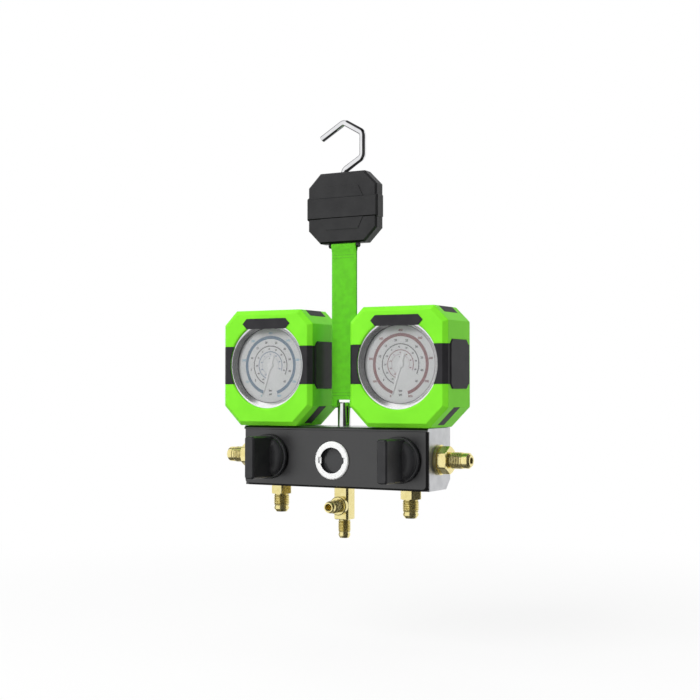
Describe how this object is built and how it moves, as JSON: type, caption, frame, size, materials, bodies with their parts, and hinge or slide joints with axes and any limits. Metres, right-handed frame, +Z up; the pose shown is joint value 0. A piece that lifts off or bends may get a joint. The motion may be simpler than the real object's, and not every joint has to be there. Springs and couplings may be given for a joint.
{
  "type": "refrigerant manifold gauge",
  "caption": "Two-valve refrigerant manifold with paired dial gauges in green rubber boots, brass flare ports, a sight glass, and a webbing strap with a hook for hanging",
  "frame": {"origin": "top of the inside of the hook, where it rests on a rail, in the middle plane of the ports", "axes": "+X to the right seen from the front, +Y to the back, +Z up"},
  "size_m": [0.2394, 0.076, 0.3629],
  "materials": {
    "bare_block": "satin, light brushed grain",
    "black_plate": "satin black",
    "white_ring": "smooth",
    "sight_window": "clear",
    "lens": "clear",
    "seals": "matte",
    "brass": "polished",
    "stem_steel": "turned",
    "bright_steel": "polished",
    "knob_black": "fine matte",
    "boot_green": "soft matte",
    "trim_black": "matte",
    "dial_white": "matte white",
    "pointer_black": "matte",
    "strap_green": "woven",
    "magnet_grey": "ground"
  },
  "bodies": {
    "hook": {"hook": "bright_steel"},
    "hook_box": {"hook_box_front": "knob_black", "hook_box_rear": "knob_black", "magnet": "magnet_grey", "box_screws": "stem_steel", "strap_pin": "stem_steel"},
    "strap": {"strap": "strap_green"},
    "manifold": {"manifold_block": "bare_block", "front_plate": "black_plate", "sight_ring": "white_ring", "sight_glass": "sight_window", "sight_seal": "seals", "service_tee": "brass", "hanger_post": "bright_steel", "post_pin": "stem_steel", "left_side_port": "brass", "left_hose_port": "brass", "left_valve_bonnet": "brass", "left_gauge_socket": "brass", "left_gauge_case": "bright_steel", "left_gauge_bezel": "bright_steel", "left_gauge_lens": "lens", "left_lens_gasket": "seals", "left_gauge_dial": "dial_white", "left_bourdon_tube": "brass", "left_movement_frame": "brass", "left_gauge_boot": "boot_green", "left_boot_trim": "trim_black", "left_badge": "trim_black", "right_side_port": "brass", "right_hose_port": "brass", "right_valve_bonnet": "brass", "right_gauge_socket": "brass", "right_gauge_case": "bright_steel", "right_gauge_bezel": "bright_steel", "right_gauge_lens": "lens", "right_lens_gasket": "seals", "right_gauge_dial": "dial_white", "right_bourdon_tube": "brass", "right_movement_frame": "brass", "right_gauge_boot": "boot_green", "right_boot_trim": "trim_black", "right_badge": "trim_black"},
    "left_knob": {"left_knob": "knob_black", "left_valve_stem": "stem_steel"},
    "left_piston": {"left_valve_piston": "brass", "left_piston_ring": "seals"},
    "left_pointer": {"left_pointer": "pointer_black", "left_pinion": "brass"},
    "left_sector": {"left_sector_gear": "brass"},
    "right_knob": {"right_knob": "knob_black", "right_valve_stem": "stem_steel"},
    "right_piston": {"right_valve_piston": "brass", "right_piston_ring": "seals"},
    "right_pointer": {"right_pointer": "pointer_black", "right_pinion": "brass"},
    "right_sector": {"right_sector_gear": "brass"}
  },
  "joints": [
    {"name": "hook_swivel", "type": "hinge", "parent": "hook", "child": "hook_box", "pos_m": [0, 0, -0.03823], "axis": [0, 0, 1], "continuous": true},
    {"name": "strap_swing", "type": "hinge", "parent": "hook_box", "child": "strap", "pos_m": [0, 0, -0.10363], "axis": [1, 0, 0], "range_deg": [-50, 50]},
    {"name": "manifold_swing", "type": "hinge", "parent": "strap", "child": "manifold", "pos_m": [0, 0, -0.24253], "axis": [1, 0, 0], "range_deg": [-35, 35]},
    {"name": "left_valve_turn", "type": "hinge", "parent": "manifold", "child": "left_knob", "pos_m": [-0.064, -0.021, -0.28753], "axis": [0, -1, 0], "range_deg": [0, 810]},
    {"name": "left_piston_travel", "type": "slide", "parent": "manifold", "child": "left_piston", "axis": [0, -1, 0], "range_m": [0, 0.003]},
    {"name": "left_pointer_turn", "type": "hinge", "parent": "manifold", "child": "left_pointer", "pos_m": [-0.064, -0.0191, -0.20793], "axis": [0, 1, 0], "range_deg": [0, 328]},
    {"name": "left_sector_turn", "type": "hinge", "parent": "manifold", "child": "left_sector", "pos_m": [-0.064, 0, -0.23043], "axis": [0, -1, 0], "range_deg": [0, 41]},
    {"name": "right_valve_turn", "type": "hinge", "parent": "manifold", "child": "right_knob", "pos_m": [0.064, -0.021, -0.28753], "axis": [0, -1, 0], "range_deg": [0, 810]},
    {"name": "right_piston_travel", "type": "slide", "parent": "manifold", "child": "right_piston", "axis": [0, -1, 0], "range_m": [0, 0.003]},
    {"name": "right_pointer_turn", "type": "hinge", "parent": "manifold", "child": "right_pointer", "pos_m": [0.064, -0.0191, -0.20793], "axis": [0, 1, 0], "range_deg": [0, 328]},
    {"name": "right_sector_turn", "type": "hinge", "parent": "manifold", "child": "right_sector", "pos_m": [0.064, 0, -0.23043], "axis": [0, -1, 0], "range_deg": [0, 41]}
  ],
  "couplings": [
    {"joint": "left_piston_travel", "follows": "left_valve_turn", "m_per_rad": 0.00021221},
    {"joint": "left_sector_turn", "follows": "left_pointer_turn", "ratio": 0.125},
    {"joint": "right_piston_travel", "follows": "right_valve_turn", "m_per_rad": 0.00021221},
    {"joint": "right_sector_turn", "follows": "right_pointer_turn", "ratio": 0.125}
  ]
}
